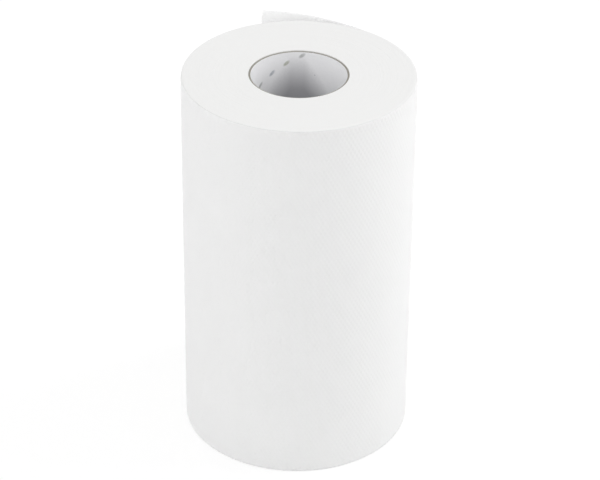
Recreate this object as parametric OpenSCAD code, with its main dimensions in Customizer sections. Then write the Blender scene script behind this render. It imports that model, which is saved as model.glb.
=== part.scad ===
// Paper towel roll, standing on its end: one long embossed sheet wound on a card tube,
// with the loose end of the sheet lifting off behind.
// The origin is on the tube's axis, in the plane the roll stands on, and +Z runs up the axis.

/* [Roll] */
// Height of the roll, which is the width of the sheet
roll_h = 205; // [120:1:280]
// Diameter over the outermost turn
roll_d = 120; // [90:1:180]

/* [Card tube] */
// Outer diameter of the tube that the sheet is wound on
core_d = 51; // [36:0.5:60]
// Thickness of the tube's wall
core_wall = 1; // [0.6:0.1:2.5]
// Slack between the tube and the first turn
core_slack = 0.1; // [0.05:0.05:0.4]

/* [Sheet] */
// Thickness of one turn of the embossed sheet in the roll
sheet_t = 0.5; // [0.4:0.05:1]
// Width of the gap between one turn and the next
gap_w = 0.2; // [0.1:0.05:0.3]
// Depth to which that gap is open at the two ends of the roll
gap_depth = 0.2; // [0.1:0.05:0.5]

/* [Loose end] */
// Direction in which the loose end leaves the roll, counted from +X
tail_from = 53; // [0:1:359]
// Length of sheet that stands off the roll
tail_l = 62; // [30:1:90]
// Radius to which the loose end has uncurled, over its outer face
tail_r = 146; // [110:1:300]
// Narrowest gap that is left open between the loose end and the turn below it
tail_gap = 0.4; // [0.2:0.1:1]

/* [Hidden] */
$fn = 96;
// How far a cutter reaches past the face that it cuts
clear_cut = 1;

roll_r = roll_d / 2;
core_r = core_d / 2;
bore_r = core_r - core_wall;
first_turn_r = core_r + core_slack;

// The sheet is wound as a spiral of half circles, struck in turn from two centres, a quarter of
// the sheet to either side of the axis. So each half circle runs smoothly into the next, and a
// turn ends one sheet further out than it began. These are the two halves of the last turn.
centre_shift = sheet_t / 4;
first_half_r = roll_r - 3 * centre_shift;
second_half_r = roll_r - centre_shift;

// The gap follows the sheet inwards, from below the last turn to where the paper left beside the
// tube's place would be thinner than this.
least_land = 0.1;
gap_turns = floor((roll_r - first_turn_r - gap_w / 2 - least_land) / sheet_t) - 1;
// Height over the end of the roll at which the blades that cut the gap join into one comb
blade_root = 0.1;

// The loose end starts where the winding ends and is struck from a centre behind the axis,
// so that it leaves the roll along the tangent.
tail_centre = roll_r - tail_r;
tail_inner_r = tail_r - sheet_t;
tail_angle = angle_of(tail_l, tail_r);

// Length over which the loose end still lies against the turn below it: two circles that
// touch are apart by half the square of this length times the difference of their curvatures.
lift_l = sqrt(2 * tail_gap / (1 / first_half_r - 1 / tail_inner_r));
lift_angle = angle_of(lift_l, tail_inner_r);
lift_depth = 2 * tail_gap;

function angle_of(length, radius) = length / radius * 180 / PI;

// Half a disc on the +Y side
module half_disc(radius) {
    intersection() {
        circle(radius);
        translate([-radius - clear_cut, 0])
            square([2 * (radius + clear_cut), radius + clear_cut]);
    }
}

// Strip between two radii that runs from +X through the given angle
module bent_strip(inner_r, outer_r, angle) {
    reach = 2 * outer_r;
    intersection() {
        difference() {
            circle(outer_r);
            circle(inner_r);
        }
        polygon([[0, 0], [reach, 0], [reach * cos(angle), reach * sin(angle)]]);
    }
}

// Plan of the winding, its last turn and the loose end, before the tube's place is cut out
module winding_plan() {
    translate([-centre_shift, 0])
        half_disc(first_half_r);
    translate([centre_shift, 0])
        mirror([0, 1])
            half_disc(second_half_r);
    translate([tail_centre, 0]) {
        bent_strip(tail_inner_r, tail_r, tail_angle);
        bent_strip(tail_inner_r - lift_depth, tail_r, lift_angle);
    }
}

// Comb of blades that cuts the gap on one side of the roll, where all its half circles share a
// centre. The given radius is that of the last turn there. The end of the roll is at z = 0.
module gap_blades(outer_r) {
    first_r = outer_r - sheet_t;
    last_r = outer_r - gap_turns * sheet_t;
    rotate_extrude(angle = 180)
        polygon([
            for (turn = [gap_turns:-1:1])
                let (inner_side = outer_r - turn * sheet_t - gap_w / 2, outer_side = inner_side + gap_w)
                    each [
                        [inner_side, blade_root],
                        [inner_side, -gap_depth],
                        [outer_side, -gap_depth],
                        [outer_side, blade_root]
                    ],
            [first_r + gap_w / 2, clear_cut],
            [last_r - gap_w / 2, clear_cut]
        ]);
}

// Sets what is drawn for an end at z = 0 on both ends of the roll
module on_both_ends() {
    translate([0, 0, roll_h])
        children();
    mirror([0, 0, 1])
        children();
}

module paper_roll() {
    color("whitesmoke")
        rotate([0, 0, tail_from])
            difference() {
                difference() {
                    linear_extrude(roll_h)
                        difference() {
                            winding_plan();
                            circle(first_turn_r);
                        }
                    on_both_ends()
                        translate([-centre_shift, 0, 0])
                            gap_blades(first_half_r);
                }
                on_both_ends()
                    translate([centre_shift, 0, 0])
                        rotate([0, 0, 180])
                            gap_blades(second_half_r);
            }
}

module card_core() {
    color("lightgrey")
        rotate_extrude()
            translate([bore_r, 0])
                square([core_wall, roll_h]);
}

paper_roll();
card_core();
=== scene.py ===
from math import atan2, ceil, cos, hypot, pi, radians, sin

import bmesh
import bpy
from mathutils import Matrix, Vector, noise


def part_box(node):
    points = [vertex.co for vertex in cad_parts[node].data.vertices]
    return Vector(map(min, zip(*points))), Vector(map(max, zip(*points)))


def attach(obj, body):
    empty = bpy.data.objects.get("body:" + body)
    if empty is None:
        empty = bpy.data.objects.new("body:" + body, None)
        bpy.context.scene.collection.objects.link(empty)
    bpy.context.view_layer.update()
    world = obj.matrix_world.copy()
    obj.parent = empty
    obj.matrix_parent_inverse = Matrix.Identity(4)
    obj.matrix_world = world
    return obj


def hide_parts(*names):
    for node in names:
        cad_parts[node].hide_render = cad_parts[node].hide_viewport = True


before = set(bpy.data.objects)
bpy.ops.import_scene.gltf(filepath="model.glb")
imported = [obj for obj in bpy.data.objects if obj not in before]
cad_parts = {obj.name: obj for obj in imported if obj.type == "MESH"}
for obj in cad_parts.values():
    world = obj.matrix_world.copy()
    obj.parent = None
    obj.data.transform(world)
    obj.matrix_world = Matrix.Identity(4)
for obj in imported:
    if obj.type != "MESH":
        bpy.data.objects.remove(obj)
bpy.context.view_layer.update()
mm = 0.001
coreLow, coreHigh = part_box("card_core")

# sizes that the pieces share: the solids' own, and the rounding of the two worn rims
roll = {
    "radius": 60 * mm,
    "height": coreHigh.z,
    "coreRadius": (coreHigh.x - coreLow.x) / 2,
    "boreRadius": 24.5 * mm,
    "sheet": 0.5 * mm,         # one turn of the winding
    "tailFrom": radians(53),   # where the loose end leaves the roll
    "tailRadius": 146 * mm,
    "tailLength": 62 * mm,
    "softRim": 1.5 * mm,       # at the upper end
    "footRim": 0.7 * mm,
}

# the winding is a spiral of half circles, struck from two centres beside the axis
shift = roll["sheet"] / 4
firstHalfRadius = roll["radius"] - 3 * shift
secondHalfRadius = roll["radius"] - shift
firstHalfLength = pi * firstHalfRadius
windingLength = firstHalfLength + pi * secondHalfRadius
sheetLength = windingLength + roll["tailLength"]
turnToTail = Matrix.Rotation(roll["tailFrom"], 4, "Z")


class Wire:
    # an output socket, so that shader maths reads as an expression
    def __init__(self, tree, socket=None):
        self.tree = tree
        self.socket = socket

    def node(self, kind, settings=None, sockets=None, take=0):
        made = self.tree.nodes.new(kind)
        for name, value in (settings or {}).items():
            if name == "stops":
                while len(made.color_ramp.elements) < len(value):
                    made.color_ramp.elements.new(0.5)
                for stop, (place, colour) in zip(made.color_ramp.elements, value):
                    stop.position = place
                    stop.color = (*colour, 1)
            elif name == "ramp":
                made.color_ramp.interpolation = value
            else:
                setattr(made, name, value)
        for name, value in (sockets or {}).items():
            if isinstance(value, Wire):
                self.tree.links.new(value.socket, made.inputs[name])
            else:
                made.inputs[name].default_value = value
        return Wire(self.tree, made.outputs[take])

    def maths(self, operation, first, second=0.0):
        return self.node("ShaderNodeMath", {"operation": operation}, {0: first, 1: second})

    def __add__(self, other):
        return self.maths("ADD", self, other)

    def __radd__(self, other):
        return self.maths("ADD", other, self)

    def __sub__(self, other):
        return self.maths("SUBTRACT", self, other)

    def __rsub__(self, other):
        return self.maths("SUBTRACT", other, self)

    def __mul__(self, other):
        return self.maths("MULTIPLY", self, other)

    def __rmul__(self, other):
        return self.maths("MULTIPLY", other, self)

    def __truediv__(self, other):
        return self.maths("DIVIDE", self, other)

    def __lt__(self, other):
        return self.maths("LESS_THAN", self, other)

    def __gt__(self, other):
        return self.maths("GREATER_THAN", self, other)

    def __mod__(self, other):
        return self.maths("FLOORED_MODULO", self, other)

    def __abs__(self):
        return self.maths("ABSOLUTE", self)


def newMaterial(name):
    material = bpy.data.materials.new(name)
    material.use_nodes = True
    tree = material.node_tree
    return material, Wire(tree), tree.nodes["Principled BSDF"]


def plug(wire, shader, socket):
    wire.tree.links.new(wire.socket, shader.inputs[socket])


def setSockets(shader, values):
    for name, value in values.items():
        shader.inputs[name].default_value = value


def objectPlace(wire):
    return wire.node("ShaderNodeTexCoord", None, None, take="Object")


def axesOf(wire, place, names):
    return [wire.node("ShaderNodeSeparateXYZ", None, {"Vector": place}, take=name) for name in names]


def mixColours(wire, factor, first, second):
    sockets = {"Factor": factor, 6: first, 7: second}   # 6 and 7 are the two colours
    return wire.node("ShaderNodeMix", {"data_type": "RGBA"}, sockets, take=2)


def band(wire, offset, half, feather):
    # 1 in the middle of a stripe and 0 outside it, with a soft edge
    clamped = {"operation": "DIVIDE", "use_clamp": True}
    return wire.node("ShaderNodeMath", clamped, {0: half - abs(offset), 1: feather})


def noiseOn(wire, place, scale, detail=3.0, rough=0.55):
    return wire.node("ShaderNodeTexNoise", None,
                     {"Vector": place, "Scale": scale, "Detail": detail, "Roughness": rough})


def bumpOn(wire, shader, height, strength, distance):
    bump = wire.node("ShaderNodeBump", None, {"Height": height, "Strength": strength, "Distance": distance})
    plug(bump, shader, "Normal")


def finishPiece(name, bm, materials, node):
    mesh = bpy.data.meshes.new(name)
    bm.to_mesh(mesh)
    bm.free()
    for material in materials:
        mesh.materials.append(material)
    piece = bpy.data.objects.new(name, mesh)
    bpy.context.scene.collection.objects.link(piece)
    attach(piece, "root")
    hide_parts(node)
    print("made", name, "with", sum(len(p.vertices) - 2 for p in mesh.polygons), "triangles")
    return piece


def softenShading(bm, sharpAngle):
    for face in bm.faces:
        face.smooth = True
    for edge in bm.edges:
        if edge.calc_face_angle(pi) > sharpAngle:
            edge.smooth = False


def facing(face):
    # 1 where a face looks straight away from the axis, -1 where it looks straight at it
    return face.normal.dot(face.calc_center_median().to_2d().to_3d().normalized())


def looksInside(face):
    return facing(face) < -0.5


def turnOutward(bm):
    bmesh.ops.recalc_face_normals(bm, faces=bm.faces)
    if sum(facing(face) for face in bm.faces) < 0:
        bmesh.ops.reverse_faces(bm, faces=bm.faces)


def cutLevel(bm, level, side=1, clear=False):
    bmesh.ops.bisect_plane(bm, geom=bm.verts[:] + bm.edges[:] + bm.faces[:], dist=1e-7,
                           plane_co=(0, 0, level), plane_no=(0, 0, side), clear_outer=clear)


def rimDip(depth, rim):
    # how far a rounded edge of the roll has dropped, some depth inside the outer face or the end
    return rim - (rim ** 2 - (rim - depth) ** 2) ** 0.5 if depth < rim else 0


# last turn of the sheet with its loose end, embossed all over with small diamonds
outerSheet = {
    "cellWidth": 2.3 * mm,
    "cellHeight": 4.2 * mm,
    "emboss": 0.29 * mm,
    "paper": 0.20 * mm,
    "rimCuts": (0.3 * mm, 0.9 * mm),   # extra rows near the ends, where the sheet bends in
    "belly": 1.1 * mm,         # the loose end bows out in the middle
    "curl": 1.8 * mm,          # and its upper corner curls back to the roll
    "wornBack": 0.8 * mm,      # wear of the two corners of the loose end
    "wornDown": 9 * mm,
    "wornBlend": 7 * mm,
    "sharpAngle": radians(50),
    "colour": (0.885, 0.885, 0.88, 1),
    "shade": (0.85, 0.85, 0.85, 1),
    "innerColourPaintedLight": (0.96, 0.96, 0.955, 1),   # painted light: the inner ply, which faces the roll, is a little whiter so as to stand in for light in the shaded gap behind the loose end
    "innerShadePaintedLight": (0.93, 0.93, 0.93, 1),
    "translucency": 0.9,       # light comes through thin tissue
    "lightReach": 0.4 * mm,
    "crepe": (3.2, 0.35, 1),   # wrinkles to a millimetre, along the sheet and up it
    "fibres": 1.4,             # to a millimetre
    "cloud": 0.05,
    "bump": 0.05 * mm,
}


def tissueMaterial(name, shade, colour):
    material, wire, shader = newMaterial(name)
    uv = wire.node("ShaderNodeUVMap", {"uv_map": "sheet"})
    flatSize = (sheetLength / mm, roll["height"] / mm, 1)
    place = wire.node("ShaderNodeMapping", None, {"Vector": uv, "Scale": flatSize})   # in millimetres
    across = wire.node("ShaderNodeMapping", None, {"Vector": place, "Scale": outerSheet["crepe"]})
    crepe = noiseOn(wire, across, 1.0, 4)
    fibres = noiseOn(wire, place, outerSheet["fibres"], 6, 0.7)
    cloud = noiseOn(wire, place, outerSheet["cloud"], 3)
    plug(mixColours(wire, fibres * 0.5 + cloud * 0.5, shade, colour), shader, "Base Color")
    plug(0.86 + 0.1 * fibres, shader, "Roughness")
    bumpOn(wire, shader, crepe * 0.6 + fibres * 0.4, 0.35, outerSheet["bump"])
    setSockets(shader, {
        "Specular IOR Level": 0.2,
        "Subsurface Weight": outerSheet["translucency"],
        "Subsurface Radius": (1, 1, 1),
        "Subsurface Scale": outerSheet["lightReach"],
    })
    return material


def looseLift(along, z):
    # how far the loose end stands off the arc that it leaves the roll on
    share = (along - windingLength) / roll["tailLength"]
    towardsTop = (z / roll["height"]) ** 2
    return outerSheet["belly"] * sin(pi * share) - outerSheet["curl"] * share ** 3 * towardsTop


def onSheet(along, depth, z):
    # a place on the last turn or the loose end, some depth below the outer face
    if along < firstHalfLength:
        centre, radius = -shift, firstHalfRadius
        angle = along / firstHalfRadius
    elif along < windingLength:
        centre, radius = shift, secondHalfRadius
        angle = pi + (along - firstHalfLength) / secondHalfRadius
    else:
        centre, radius = roll["radius"] - roll["tailRadius"], roll["tailRadius"]
        angle = (along - windingLength) / radius
        radius += looseLift(along, z)
    reach = radius - depth
    return turnToTail @ Vector((centre + reach * cos(angle), reach * sin(angle), z))


def makeOuterSheet():
    columns = 2 * round(sheetLength / outerSheet["cellWidth"])
    rows = 2 * round(roll["height"] / outerSheet["cellHeight"])
    bm = bmesh.new()
    bm.loops.layers.uv.new("sheet")
    bmesh.ops.create_grid(bm, x_segments=columns, y_segments=rows, size=0.5, calc_uvs=True)
    # the edges of the last turn stand a little inside the ends
    low = rimDip(roll["sheet"] / 2, roll["footRim"])
    high = roll["height"] - rimDip(roll["sheet"] / 2, roll["softRim"])
    valleys = []
    for vert in bm.verts:   # the flat sheet: length, depth below the outer face, height
        column = round((vert.co.x + 0.5) * columns)
        row = round((vert.co.y + 0.5) * rows)
        depth = 0
        if (column + row) % 2 == 0:
            depth = outerSheet["emboss"]
            valleys.append(vert)
        vert.co = (sheetLength * column / columns, depth, low + (high - low) * row / rows)
    for fold in bmesh.ops.connect_verts(bm, verts=valleys)["edges"]:   # folds every quad along the valley
        fold.smooth = False
    for cut in outerSheet["rimCuts"]:
        cutLevel(bm, low + cut)
        cutLevel(bm, high - cut)
    for vert in bm.verts:   # wear at the loose end, the bend at both ends, and round the roll
        along, depth, z = vert.co
        toEdge = max(0, min(z - low, high - z))
        wornShare = 1 - min(toEdge / outerSheet["wornDown"], 1)
        cutBack = outerSheet["wornBack"] * (1 - (1 - wornShare ** 2) ** 0.5)
        along -= cutBack * max(0, 1 - (sheetLength - along) / outerSheet["wornBlend"])
        onRoll = min(max((windingLength - along) / outerSheet["wornBlend"] + 1, 0), 1)
        bentIn = rimDip(z, roll["footRim"]) + rimDip(roll["height"] - z, roll["softRim"])
        vert.co = onSheet(along, depth + onRoll * bentIn, z)
    turnOutward(bm)
    bmesh.ops.solidify(bm, geom=bm.faces[:], thickness=outerSheet["paper"])
    for face in bm.faces:
        # faces that look at the roll take the inner ply, whitened as painted light
        face.material_index = 1 if looksInside(face) else 0
    softenShading(bm, outerSheet["sharpAngle"])
    plies = [tissueMaterial("outer_ply", outerSheet["shade"], outerSheet["colour"]),
             tissueMaterial("inner_ply_painted_light", outerSheet["innerShadePaintedLight"], outerSheet["innerColourPaintedLight"])]
    piece = finishPiece("outer_sheet", bm, plies, "paper_roll")


# the turns below, whose cut edges show as ridges at both ends
woundTurns = {
    "ridge": 0.06 * mm,
    "profile": [(0.25, 0.25), (0.5, 0), (0.75, 0.25), (1, 1)],   # share of a turn, share of the ridge
    "stepsPerHalf": 72,
    "glueGap": 0.05 * mm,
    "lastGap": 0.02 * mm,
    "onTube": 0.12,            # share of a turn that is drawn in to lie on the tube
    "merge": 0.004 * mm,
    "telescoped": 0.18 * mm,   # how unevenly the turns stand at the ends
    "coarseBands": 0.31,       # to a turn
    "fineBands": 1.1,
    "sharpAngle": radians(55),
    "colour": (0.815, 0.815, 0.81, 1),
    "shade": (0.775, 0.775, 0.77, 1),
    "fuzz": 2600,              # to a metre
    "tintBands": 0.9,          # to a turn
    "bump": 0.05 * mm,
}


def cutEdgeMaterial():
    material, wire, shader = newMaterial("slit_edges")
    place = objectPlace(wire)
    x, y = axesOf(wire, place, "XY")
    reach = wire.maths("SQRT", x * x + y * y)
    angle = wire.maths("ARCTAN2", y, x)
    turn = reach / roll["sheet"] - angle / (2 * pi)
    ply = abs((turn * 2) % 1.0 - 0.5) * 2   # two plies in every turn
    fuzz = noiseOn(wire, place, woundTurns["fuzz"], 4, 0.7)
    bands = wire.node("ShaderNodeTexNoise", {"noise_dimensions": "1D"},
                      {"W": turn, "Scale": woundTurns["tintBands"], "Detail": 2})
    pale = ply * 0.3 + fuzz * 0.35 + bands * 0.35
    plug(mixColours(wire, pale, woundTurns["shade"], woundTurns["colour"]), shader, "Base Color")
    plug(0.88 + 0.1 * fuzz, shader, "Roughness")
    bumpOn(wire, shader, ply * 0.5 + fuzz * 0.5, 0.3, woundTurns["bump"])
    setSockets(shader, {"Specular IOR Level": 0.15})
    return material


def endDip(reach, end):
    # bands of turns stand a little further in than others, and the last ones round off to the rim
    turn = reach / roll["sheet"]
    coarse = noise.noise(Vector((turn * woundTurns["coarseBands"], end * 5.3, 0.7))) * 0.6
    fine = noise.noise(Vector((turn * woundTurns["fineBands"], 3.1, end * 2.9))) * 0.4
    rim = roll["softRim"] if end else roll["footRim"]
    return woundTurns["telescoped"] * (0.5 + 0.5 * (coarse + fine)) + rimDip(roll["radius"] - reach, rim)


def spinHalf(bm, edges, centre):
    return bmesh.ops.spin(bm, geom=edges, cent=(centre, 0, 0), axis=(0, 0, 1), angle=pi,
                          steps=woundTurns["stepsPerHalf"])["geom_last"]


def makeWoundTurns():
    height, ridge = roll["height"], woundTurns["ridge"]
    inner = roll["coreRadius"] + woundTurns["glueGap"]
    outer = roll["radius"] - 2 * roll["sheet"] - woundTurns["lastGap"]
    turns = round((outer - inner) / roll["sheet"])
    pitch = (outer - inner) / turns
    marks = [(0, ridge)]   # reach and depth of the profile at one end, from the core out
    for turn in range(turns):
        marks += [(turn * pitch + along * pitch, depth * ridge) for along, depth in woundTurns["profile"]]
    bm = bmesh.new()
    bmesh.ops.create_circle(bm, segments=2 * len(marks), radius=1)
    bm.verts.ensure_lookup_table()
    loop = bm.verts[:]
    for index, vert in enumerate(loop):   # the circle becomes the section of the winding
        top = index >= len(marks)
        reach, depth = marks[2 * len(marks) - 1 - index if top else index]
        vert.co = (inner + reach, 0, height - depth if top else depth)
    last = spinHalf(bm, bm.edges[:], -shift)
    last = spinHalf(bm, [e for e in last if isinstance(e, bmesh.types.BMEdge)], shift)
    startLoop = set(loop)
    endLoop = {v for v in last if isinstance(v, bmesh.types.BMVert)}
    for vert in bm.verts:   # the first turn lies on the tube all the way round
        share = atan2(vert.co.y, vert.co.x) % (2 * pi) / (2 * pi)
        if vert in endLoop:
            share = 1
        elif vert in startLoop:
            share = 0
        reach = hypot(vert.co.x, vert.co.y)
        if (reach - inner) / pitch - share < woundTurns["onTube"]:
            vert.co.x *= inner / reach
            vert.co.y *= inner / reach
    bmesh.ops.remove_doubles(bm, verts=bm.verts, dist=woundTurns["merge"])
    bmesh.ops.holes_fill(bm, edges=[e for e in bm.edges if e.is_boundary], sides=0)
    for vert in bm.verts:
        top = vert.co.z > height / 2
        dip = endDip(hypot(vert.co.x, vert.co.y), 1 if top else 0)
        vert.co.z += -dip if top else dip
    bmesh.ops.recalc_face_normals(bm, faces=bm.faces)
    bmesh.ops.rotate(bm, verts=bm.verts, cent=(0, 0, 0), matrix=turnToTail.to_3x3())
    softenShading(bm, woundTurns["sharpAngle"])
    finishPiece("wound_turns", bm, [cutEdgeMaterial()], "paper_roll")


# card tube: two plies wound as a helix, edge to edge, each with its own seam
cardTube = {
    "lead": 77 * mm,           # rise of a ply in one turn
    "seamGap": 0.3 * mm,
    "stepsPerTurn": 96,
    "rowCuts": 9,
    "sharpAngle": radians(50),
    "outerPly": 0.54 * mm,
    "linerPly": 0.42 * mm,
    "linerSeam": 34 * mm,      # below the upper end, at the back
    "outerSeam": 4 * mm,
    "recess": 0.6 * mm,        # how far the tube stands inside the paper at the upper end
    "cardColour": (0.34, 0.325, 0.285, 1),
    "cardShade": (0.25, 0.24, 0.21, 1),
    "cardFibres": 1500,        # to a metre
    "cardFlecks": 420,
    "cardBump": 0.06 * mm,
}

# lining of the tube, with pale lint from the paper, thickest at the two ends; this pale band is also painted
# light falling into both ends of the bore, and the darker bare lining deeper in is painted shade
lining = {
    # bare lining, grey: painted shade deep in the bore
    "colour": (0.50, 0.50, 0.515, 1),
    "shade": (0.44, 0.44, 0.46, 1),
    "fibres": 1300,            # to a metre
    "bump": 0.05 * mm,
    "specks": 170,             # to a metre; only some of them are dark
    "speckSize": 0.06,
    "speckChance": 0.62,
    "speckColour": (0.16, 0.17, 0.22, 1),
    "lintAndLightColour": (0.90, 0.90, 0.91, 1),
    "lintAndLightDepth": 40 * mm,
    "lintAndLightFade": 20 * mm,
    "shadeStripAt": radians(92),     # painted shade: the pale band ends sooner in a strip at the back, darker there like the shadow deep in the bore
    "shadeStripHalf": radians(40),
    "shadeStripFade": radians(32),
    "shadeStripDepth": 18 * mm,
    "patches": 900,            # to a metre, in the pale band of lint and painted light, and in the ink
}

# faded dashes printed along the lining
dashes = {
    "perTurn": 19,
    "first": radians(86.2),
    "depth": 2.6 * mm,         # below the upper end, at the first one
    "length": 5.0 * mm,
    "width": 2.4 * mm,
    "feather": 0.55,
    "slant": radians(-40),
    "ink": 0.58,
    "colours": [(0.17, 0.18, 0.17), (0.19, 0.20, 0.07), (0.09, 0.13, 0.19)],
}


def cardMaterial():
    material, wire, shader = newMaterial("grey_card")
    place = objectPlace(wire)
    fibres = noiseOn(wire, place, cardTube["cardFibres"], 6, 0.7)
    flecks = noiseOn(wire, place, cardTube["cardFlecks"], 2)
    tint = mixColours(wire, fibres * 0.6 + flecks * 0.4, cardTube["cardShade"], cardTube["cardColour"])
    plug(tint, shader, "Base Color")
    plug(0.8 + 0.15 * fibres, shader, "Roughness")
    bumpOn(wire, shader, fibres, 0.4, cardTube["cardBump"])
    return material


def liningColour(wire, place, angle, z, fibres, patchy):
    plain = mixColours(wire, fibres, lining["shade"], lining["colour"])
    fromEnd = roll["height"] / 2 - abs(z - roll["height"] / 2)
    # painted shade: a strip at the back of the bore where the pale band stops sooner
    shadeStrip = band(wire, angle - lining["shadeStripAt"], lining["shadeStripHalf"], lining["shadeStripFade"])
    # pale lint and painted light near both ends, fading to the darker bare lining deeper in as painted shade
    lintAndLight = band(wire, fromEnd, lining["lintAndLightDepth"] - shadeStrip * lining["shadeStripDepth"], lining["lintAndLightFade"])
    dustyAndLit = mixColours(wire, lintAndLight * (patchy * 0.3 + 0.85), plain, lining["lintAndLightColour"])
    specks = {"Vector": place, "Scale": lining["specks"]}
    fromSpeck = wire.node("ShaderNodeTexVoronoi", None, specks, take="Distance")
    chance = wire.node("ShaderNodeTexVoronoi", None, specks, take="Color")
    dark = (fromSpeck < lining["speckSize"]) * (chance > lining["speckChance"])
    return mixColours(wire, dark * 0.7, dustyAndLit, lining["speckColour"])


def dashInk(wire, angle, z, patchy):
    # how much ink is laid on, and its colour
    pitch = 2 * pi / dashes["perTurn"]
    lead = cardTube["lead"]
    drop = lead / (2 * pi)   # fall of the helix for every radian
    counted = (angle - dashes["first"]) / pitch + 0.5
    sideways = (counted % 1.0 - 0.5) * (pitch * roll["boreRadius"])
    lineHeight = roll["height"] - dashes["depth"] + dashes["first"] * drop
    offLine = (z + angle * drop - lineHeight + lead / 2) % lead - lead / 2
    upright = offLine - sideways * (drop / roll["boreRadius"])   # above the middle of the nearest dash
    lengthways = sideways * cos(dashes["slant"]) + upright * sin(dashes["slant"])
    crossways = upright * cos(dashes["slant"]) - sideways * sin(dashes["slant"])
    along = lengthways * (2 / dashes["length"])   # -1 to 1 over a dash
    across = crossways * (2 / dashes["width"])
    inDash = band(wire, wire.maths("SQRT", along * along + across * across), 1, dashes["feather"])
    laidOn = inDash * (patchy * 0.8 + along * 0.3 + 0.45) * dashes["ink"]   # heavier at the lower end
    kinds = len(dashes["colours"])
    stops = [(i / kinds, colour) for i, colour in enumerate(dashes["colours"])]
    which = wire.maths("FLOOR", counted) % float(kinds)
    ink = wire.node("ShaderNodeValToRGB", {"stops": stops, "ramp": "CONSTANT"}, {"Fac": which / kinds + 0.1})
    return laidOn, ink


def linerMaterial():
    material, wire, shader = newMaterial("white_liner")
    place = objectPlace(wire)
    x, y, z = axesOf(wire, place, "XYZ")
    angle = wire.maths("ARCTAN2", y, x)
    fibres = noiseOn(wire, place, lining["fibres"], 6, 0.7)
    patchy = noiseOn(wire, place, lining["patches"], 3, 0.6)
    paper = liningColour(wire, place, angle, z, fibres, patchy)
    laidOn, ink = dashInk(wire, angle, z, patchy)
    plug(mixColours(wire, laidOn, paper, ink), shader, "Base Color")
    plug(0.72 + 0.2 * fibres, shader, "Roughness")
    bumpOn(wire, shader, fibres, 0.25, lining["bump"])
    return material


def makePly(name, radius, thickness, seamDepth, materials):
    lead, steps, height = cardTube["lead"], cardTube["stepsPerTurn"], roll["height"]
    low = height - seamDepth + lead / 4   # lower edge at +X, so that it is seamDepth down at the back
    while low < height:
        low += lead
    turns = ceil((low + lead) / lead)
    bm = bmesh.new()
    ends = [bm.verts.new((radius, 0, low)), bm.verts.new((radius, 0, low + lead - cardTube["seamGap"]))]
    bm.edges.new(ends)
    bmesh.ops.subdivide_edges(bm, edges=bm.edges[:], cuts=cardTube["rowCuts"])
    bmesh.ops.spin(bm, geom=bm.edges[:], cent=(0, 0, 0), axis=(0, 0, 1), dvec=(0, 0, -lead / steps),
                   angle=turns * 2 * pi, steps=turns * steps)
    cutLevel(bm, 0, -1, clear=True)
    cutLevel(bm, height - cardTube["recess"], 1, clear=True)
    turnOutward(bm)
    bmesh.ops.solidify(bm, geom=bm.faces[:], thickness=thickness)
    for face in bm.faces:   # only the inside of the tube is lined
        face.material_index = 0 if looksInside(face) else len(materials) - 1
    softenShading(bm, cardTube["sharpAngle"])
    finishPiece(name, bm, materials, "card_core")


# pale floor, white to the camera, and soft light that is a little stronger from the right
stage = {
    "floorHalf": 4,
    "floorDrop": 0.05 * mm,
    "floorColour": (0.86, 0.86, 0.86, 1),
    "floorGlow": 0.6,
    "worldStrength": 0.84,
    "lampAim": (0, 0, 0.1),
    "lamps": [   # place, size and power
        ("right_lamp", (0.97, 0.22, 0.75), 0.7, 4.2),
        ("left_lamp", (-0.90, -0.20, 0.95), 0.6, 2.0),
        ("front_lamp", (-0.10, -1.20, 0.55), 0.5, 1.7),
        ("back_lamp", (-0.50, 1.0, 0.25), 0.5, 1.2),
    ],
}


def whiteToCamera(wire):
    # 1 for rays that show the background, straight to the camera or by way of gloss and glass
    camera, glossy, through = [wire.node("ShaderNodeLightPath", None, None, take="Is %s Ray" % kind)
                               for kind in ("Camera", "Glossy", "Transmission")]
    return wire.maths("MAXIMUM", wire.maths("MAXIMUM", camera, glossy), through)


def makeFloor():
    bm = bmesh.new()
    bmesh.ops.create_grid(bm, x_segments=8, y_segments=8, size=stage["floorHalf"],
                          matrix=Matrix.Translation((0, 0, -stage["floorDrop"])))
    mesh = bpy.data.meshes.new("floor")
    bm.to_mesh(mesh)
    bm.free()
    material, wire, shader = newMaterial("pale_floor")
    toCamera = whiteToCamera(wire)
    glow, rest = stage["floorGlow"], 1 - stage["floorGlow"]
    plug(mixColours(wire, toCamera, stage["floorColour"], (rest, rest, rest, 1)), shader, "Base Color")
    plug(mixColours(wire, toCamera, (0, 0, 0, 1), (glow, glow, glow, 1)), shader, "Emission Color")
    setSockets(shader, {"Emission Strength": 1, "Roughness": 1, "Specular IOR Level": 0})
    mesh.materials.append(material)
    floor = bpy.data.objects.new("floor", mesh)
    bpy.context.scene.collection.objects.link(floor)
    print("floor laid")


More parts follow.
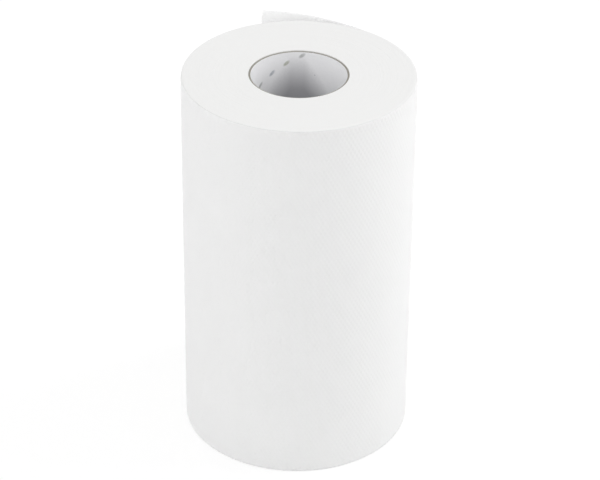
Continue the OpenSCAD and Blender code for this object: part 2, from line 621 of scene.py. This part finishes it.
def makeLight():
    world = bpy.data.worlds.new("studio")
    bpy.context.scene.world = world
    world.use_nodes = True
    background = world.node_tree.nodes["Background"]
    setSockets(background, {"Color": (1, 1, 1, 1)})
    strength = stage["worldStrength"] + whiteToCamera(Wire(world.node_tree)) * (1 - stage["worldStrength"])
    plug(strength, background, "Strength")
    for name, place, size, power in stage["lamps"]:
        lamp = bpy.data.lights.new(name, "AREA")
        lamp.size = size
        lamp.energy = power
        holder = bpy.data.objects.new(name, lamp)
        holder.location = place
        towards = Vector(stage["lampAim"]) - holder.location
        holder.rotation_euler = towards.to_track_quat("-Z", "Y").to_euler()
        bpy.context.scene.collection.objects.link(holder)
    print("lit by the sky and", len(stage["lamps"]), "lamps")


# camera fitted to the two ends of the roll in the photograph
view = {
    "distance": 1.318,
    "elevation": radians(31.98),
    "lens": 150.6,
    "sensor": 36,
    "tilt": radians(0.55),
    "imageWidth": 600,
    "offCentre": (-2.7, 6.2),   # middle of the roll, in pixels from the middle of the picture
    "clipStart": 0.01,
}


def makeCamera():
    camera = bpy.data.cameras.new("camera")
    camera.sensor_width = view["sensor"]
    camera.lens = view["lens"]
    camera.shift_x = -view["offCentre"][0] / view["imageWidth"]
    camera.shift_y = view["offCentre"][1] / view["imageWidth"]
    camera.clip_start = view["clipStart"]
    holder = bpy.data.objects.new("camera", camera)
    back = Vector((0, -cos(view["elevation"]), sin(view["elevation"])))
    holder.location = Vector((0, 0, roll["height"] / 2)) + back * view["distance"]
    aim = (-back).to_track_quat("-Z", "Y").to_matrix().to_4x4() @ Matrix.Rotation(view["tilt"], 4, "Z")
    holder.rotation_euler = aim.to_euler()
    bpy.context.scene.collection.objects.link(holder)
    bpy.context.scene.camera = holder
    print("camera at", holder.location)


makeOuterSheet()
makeWoundTurns()
card = cardMaterial()
makePly("core_outer_ply", roll["coreRadius"], cardTube["outerPly"], cardTube["outerSeam"], [card])
makePly("core_liner", roll["boreRadius"] + cardTube["linerPly"], cardTube["linerPly"], cardTube["linerSeam"],
        [linerMaterial(), card])
makeFloor()
makeLight()
makeCamera()
bpy.context.scene.view_settings.view_transform = "Standard"
